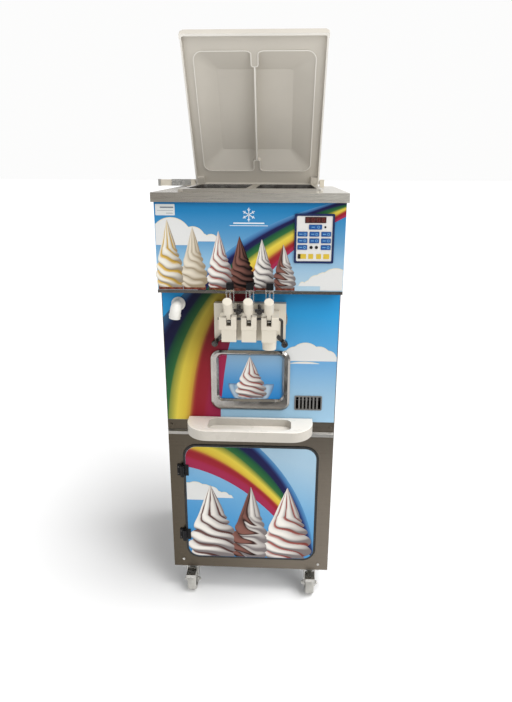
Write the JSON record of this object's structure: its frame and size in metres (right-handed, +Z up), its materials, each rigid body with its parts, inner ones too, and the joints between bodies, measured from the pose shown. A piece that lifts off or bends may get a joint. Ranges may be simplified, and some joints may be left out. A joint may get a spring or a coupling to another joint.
{
  "type": "soft serve machine",
  "caption": "Floor-standing soft serve machine on castors: mix lid standing open, control head, draw levers with plungers, drip tray, hinged lower door and the works inside.",
  "frame": {"origin": "on the floor, under the middle of the whole outline with the lid stay and levers counted", "axes": "+Z up, +Y towards the back of the cabinet, +X to the right of a person facing the controls"},
  "size_m": [0.639, 0.6834, 1.8407],
  "materials": {
    "cabinet_steel": "satin brushed stainless, warm grey",
    "deck_steel": "satin brushed stainless",
    "frame_steel": "grey paint",
    "bright_steel": "polished",
    "zinc_steel": "zinc plated",
    "dark_metal": "dark polished",
    "fin_aluminium": "mill finish",
    "painted_castings": "blue grey paint",
    "black_paint": "satin black paint",
    "printed_panel": "glossy printed film on steel",
    "panel_blue": "smooth film",
    "key_blue": "smooth film",
    "white_plastic": "satin moulded",
    "lid_plastic": "fine grained, moulded",
    "black_plastic": "satin",
    "black_rubber": "matt",
    "castor_tyre": "smooth grey tread"
  },
  "bodies": {
    "cabinet": {"cabinet_frame": "frame_steel", "left_side_panel": "cabinet_steel", "right_side_panel": "cabinet_steel", "rear_panel": "cabinet_steel", "lower_front_frame": "cabinet_steel", "tray_ledge": "cabinet_steel", "middle_front_panel": "printed_panel", "upper_front_cover": "printed_panel", "top_deck": "deck_steel", "mix_hoppers": "bright_steel", "freezing_cylinders": "bright_steel", "gear_reducer": "painted_castings", "drive_motor": "painted_castings", "compressor": "black_paint", "condenser_unit": "fin_aluminium", "electrical_box": "frame_steel", "control_bezel": "panel_blue", "window_bezel": "bright_steel", "vent_grille": "black_plastic", "rinse_elbow": "white_plastic", "dispensing_head": "white_plastic", "lever_pivot_rod": "bright_steel", "head_hand_nuts": "dark_metal", "door_hinge_leaves": "black_plastic", "lid_hinge_hardware": "white_plastic", "castor_plates": "zinc_steel", "cabinet_screws": "bright_steel"},
    "lid": {"lid": "lid_plastic"},
    "door": {"door": "cabinet_steel", "door_gasket": "black_rubber"},
    "drip_tray": {"drip_tray": "white_plastic"},
    "stay_arm": {"stay_arm": "zinc_steel"},
    "draw_lever_left": {"draw_lever_left": "white_plastic"},
    "draw_piston_left": {"draw_piston_left": "white_plastic"},
    "draw_lever_middle": {"draw_lever_middle": "white_plastic"},
    "draw_piston_middle": {"draw_piston_middle": "white_plastic"},
    "draw_lever_right": {"draw_lever_right": "white_plastic"},
    "draw_piston_right": {"draw_piston_right": "white_plastic"},
    "beater_left": {"beater_left": "bright_steel"},
    "beater_right": {"beater_right": "bright_steel"},
    "condenser_fan": {"condenser_fan": "fin_aluminium"},
    "control_key_1": {"control_key_1": "key_blue"},
    "control_key_2": {"control_key_2": "key_blue"},
    "control_key_3": {"control_key_3": "key_blue"},
    "control_key_4": {"control_key_4": "key_blue"},
    "control_key_5": {"control_key_5": "key_blue"},
    "control_key_6": {"control_key_6": "key_blue"},
    "control_key_7": {"control_key_7": "key_blue"},
    "control_key_8": {"control_key_8": "key_blue"},
    "control_key_9": {"control_key_9": "key_blue"},
    "castor_front_left": {"castor_fork_front_left": "zinc_steel"},
    "wheel_front_left": {"castor_wheel_front_left": "castor_tyre"},
    "brake_front_left": {"brake_pedal_front_left": "black_plastic"},
    "castor_front_right": {"castor_fork_front_right": "zinc_steel"},
    "wheel_front_right": {"castor_wheel_front_right": "castor_tyre"},
    "brake_front_right": {"brake_pedal_front_right": "black_plastic"},
    "castor_rear_left": {"castor_fork_rear_left": "zinc_steel"},
    "wheel_rear_left": {"castor_wheel_rear_left": "castor_tyre"},
    "castor_rear_right": {"castor_fork_rear_right": "zinc_steel"},
    "wheel_rear_right": {"castor_wheel_rear_right": "castor_tyre"}
  },
  "joints": [
    {"name": "lid_hinge", "type": "hinge", "parent": "cabinet", "child": "lid", "pos_m": [0.0435, 0.27474, 1.401], "axis": [-1, 0, 0], "range_deg": [-58, 35]},
    {"name": "door_hinge", "type": "hinge", "parent": "cabinet", "child": "door", "pos_m": [-0.1835, -0.18626, 0.365], "axis": [0, 0, -1], "range_deg": [0, 110]},
    {"name": "drip_tray_slide", "type": "slide", "parent": "cabinet", "child": "drip_tray", "axis": [0, -1, 0], "range_m": [0, 0.11]},
    {"name": "stay_arm_pivot", "type": "hinge", "parent": "cabinet", "child": "stay_arm", "pos_m": [-0.2611, 0.29674, 1.399], "axis": [0, 1, 0], "range_deg": [0, 90]},
    {"name": "draw_lever_left_pivot", "type": "hinge", "parent": "cabinet", "child": "draw_lever_left", "pos_m": [-0.012, -0.27526, 1.04], "axis": [1, 0, 0], "range_deg": [0, 60]},
    {"name": "draw_piston_left_lift", "type": "slide", "parent": "cabinet", "child": "draw_piston_left", "axis": [0, 0, 1], "range_m": [0, 0.022]},
    {"name": "draw_lever_middle_pivot", "type": "hinge", "parent": "cabinet", "child": "draw_lever_middle", "pos_m": [0.0455, -0.27526, 1.04], "axis": [1, 0, 0], "range_deg": [0, 60]},
    {"name": "draw_piston_middle_lift", "type": "slide", "parent": "cabinet", "child": "draw_piston_middle", "axis": [0, 0, 1], "range_m": [0, 0.022]},
    {"name": "draw_lever_right_pivot", "type": "hinge", "parent": "cabinet", "child": "draw_lever_right", "pos_m": [0.103, -0.27526, 1.04], "axis": [1, 0, 0], "range_deg": [0, 60]},
    {"name": "draw_piston_right_lift", "type": "slide", "parent": "cabinet", "child": "draw_piston_right", "axis": [0, 0, 1], "range_m": [0, 0.022]},
    {"name": "beater_left_spin", "type": "hinge", "parent": "cabinet", "child": "beater_left", "pos_m": [-0.014, -0.17526, 1.015], "axis": [0, 1, 0], "continuous": true},
    {"name": "beater_right_spin", "type": "hinge", "parent": "cabinet", "child": "beater_right", "pos_m": [0.101, -0.17526, 1.015], "axis": [0, 1, 0], "continuous": true},
    {"name": "condenser_fan_spin", "type": "hinge", "parent": "cabinet", "child": "condenser_fan", "pos_m": [-0.0715, 0.20974, 0.27], "axis": [0, 1, 0], "continuous": true},
    {"name": "control_key_1_press", "type": "slide", "parent": "cabinet", "child": "control_key_1", "axis": [0, 1, 0], "range_m": [0, 0.0008], "stiffness_N_per_m": 400},
    {"name": "control_key_2_press", "type": "slide", "parent": "cabinet", "child": "control_key_2", "axis": [0, 1, 0], "range_m": [0, 0.0008], "stiffness_N_per_m": 400},
    {"name": "control_key_3_press", "type": "slide", "parent": "cabinet", "child": "control_key_3", "axis": [0, 1, 0], "range_m": [0, 0.0008], "stiffness_N_per_m": 400},
    {"name": "control_key_4_press", "type": "slide", "parent": "cabinet", "child": "control_key_4", "axis": [0, 1, 0], "range_m": [0, 0.0008], "stiffness_N_per_m": 400},
    {"name": "control_key_5_press", "type": "slide", "parent": "cabinet", "child": "control_key_5", "axis": [0, 1, 0], "range_m": [0, 0.0008], "stiffness_N_per_m": 400},
    {"name": "control_key_6_press", "type": "slide", "parent": "cabinet", "child": "control_key_6", "axis": [0, 1, 0], "range_m": [0, 0.0008], "stiffness_N_per_m": 400},
    {"name": "control_key_7_press", "type": "slide", "parent": "cabinet", "child": "control_key_7", "axis": [0, 1, 0], "range_m": [0, 0.0008], "stiffness_N_per_m": 400},
    {"name": "control_key_8_press", "type": "slide", "parent": "cabinet", "child": "control_key_8", "axis": [0, 1, 0], "range_m": [0, 0.0008], "stiffness_N_per_m": 400},
    {"name": "control_key_9_press", "type": "slide", "parent": "cabinet", "child": "control_key_9", "axis": [0, 1, 0], "range_m": [0, 0.0008], "stiffness_N_per_m": 400},
    {"name": "castor_front_left_swivel", "type": "hinge", "parent": "cabinet", "child": "castor_front_left", "pos_m": [-0.1655, -0.13326, 0.09], "axis": [0, 0, 1], "continuous": true},
    {"name": "wheel_front_left_spin", "type": "hinge", "parent": "castor_front_left", "child": "wheel_front_left", "pos_m": [-0.1655, -0.15926, 0.0375], "axis": [1, 0, 0], "continuous": true},
    {"name": "brake_front_left_press", "type": "hinge", "parent": "castor_front_left", "child": "brake_front_left", "pos_m": [-0.1655, -0.16326, 0.082], "axis": [1, 0, 0], "range_deg": [0, 12]},
    {"name": "castor_front_right_swivel", "type": "hinge", "parent": "cabinet", "child": "castor_front_right", "pos_m": [0.2525, -0.13326, 0.09], "axis": [0, 0, 1], "continuous": true},
    {"name": "wheel_front_right_spin", "type": "hinge", "parent": "castor_front_right", "child": "wheel_front_right", "pos_m": [0.2525, -0.15926, 0.0375], "axis": [1, 0, 0], "continuous": true},
    {"name": "brake_front_right_press", "type": "hinge", "parent": "castor_front_right", "child": "brake_front_right", "pos_m": [0.2525, -0.16326, 0.082], "axis": [1, 0, 0], "range_deg": [0, 12]},
    {"name": "castor_rear_left_swivel", "type": "hinge", "parent": "cabinet", "child": "castor_rear_left", "pos_m": [-0.1655, 0.27974, 0.09], "axis": [0, 0, 1], "continuous": true},
    {"name": "wheel_rear_left_spin", "type": "hinge", "parent": "castor_rear_left", "child": "wheel_rear_left", "pos_m": [-0.1655, 0.25374, 0.0375], "axis": [1, 0, 0], "continuous": true},
    {"name": "castor_rear_right_swivel", "type": "hinge", "parent": "cabinet", "child": "castor_rear_right", "pos_m": [0.2525, 0.27974, 0.09], "axis": [0, 0, 1], "continuous": true},
    {"name": "wheel_rear_right_spin", "type": "hinge", "parent": "castor_rear_right", "child": "wheel_rear_right", "pos_m": [0.2525, 0.25374, 0.0375], "axis": [1, 0, 0], "continuous": true}
  ],
  "couplings": [
    {"joint": "draw_piston_left_lift", "follows": "draw_lever_left_pivot", "m_per_rad": 0.021},
    {"joint": "draw_piston_middle_lift", "follows": "draw_lever_middle_pivot", "m_per_rad": 0.021},
    {"joint": "draw_piston_right_lift", "follows": "draw_lever_right_pivot", "m_per_rad": 0.021},
    {"joint": "beater_right_spin", "follows": "beater_left_spin", "ratio": 1}
  ]
}
